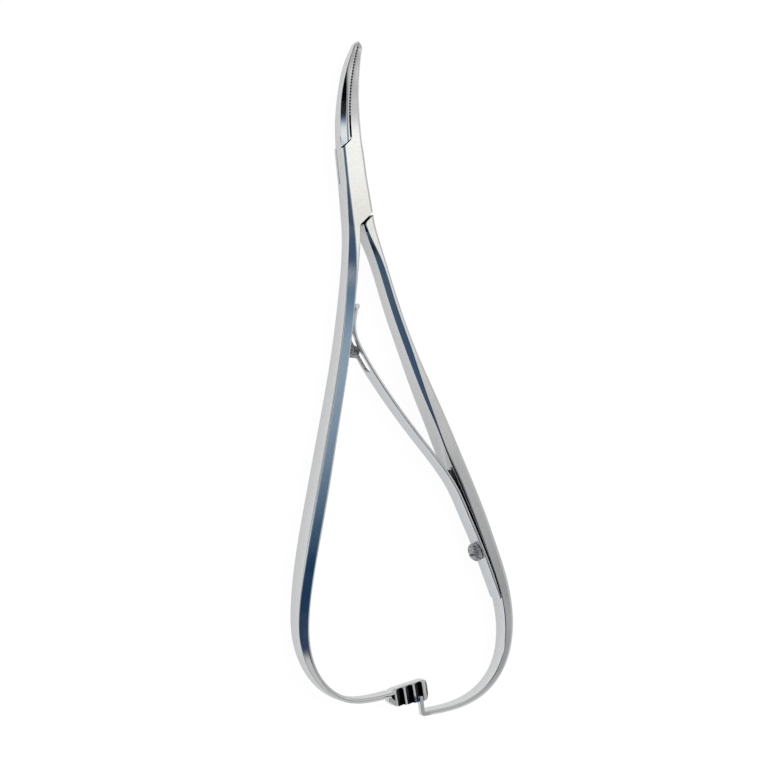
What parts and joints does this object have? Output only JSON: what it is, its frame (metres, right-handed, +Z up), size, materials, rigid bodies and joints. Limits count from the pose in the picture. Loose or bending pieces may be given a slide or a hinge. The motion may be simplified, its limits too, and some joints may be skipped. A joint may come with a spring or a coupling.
{
  "type": "mathieu pliers",
  "caption": "Ratcheted spring pliers with a box lock, curved serrated jaws and bowed palm handles, used to hold a needle or wire.",
  "frame": {"origin": "on the axis of the box lock's pin, in the plane that the pliers lie on", "axes": "+Y from the handles towards the jaws, +Z up out of the plane that the pliers lie on, +X towards the arm that carries the leaf spring and the pawl"},
  "size_m": [0.0486, 0.1402, 0.0061],
  "materials": {
    "polished_steel": "mirror polished stainless steel",
    "spring_steel": "polished spring steel",
    "turned_steel": "turned steel, not polished"
  },
  "bodies": {
    "box_side": {"box_half": "polished_steel", "pivot_pin": "polished_steel", "guide_peg": "turned_steel"},
    "tongue_side": {"tongue_half": "polished_steel", "leaf_spring": "spring_steel", "spring_screw": "turned_steel"}
  },
  "joints": [
    {"name": "box_lock", "type": "hinge", "parent": "box_side", "child": "tongue_side", "pos_m": [0, 0, 0.00305], "axis": [0, 0, 1], "range_deg": [0, 15], "deforming": ["leaf_spring"]}
  ]
}
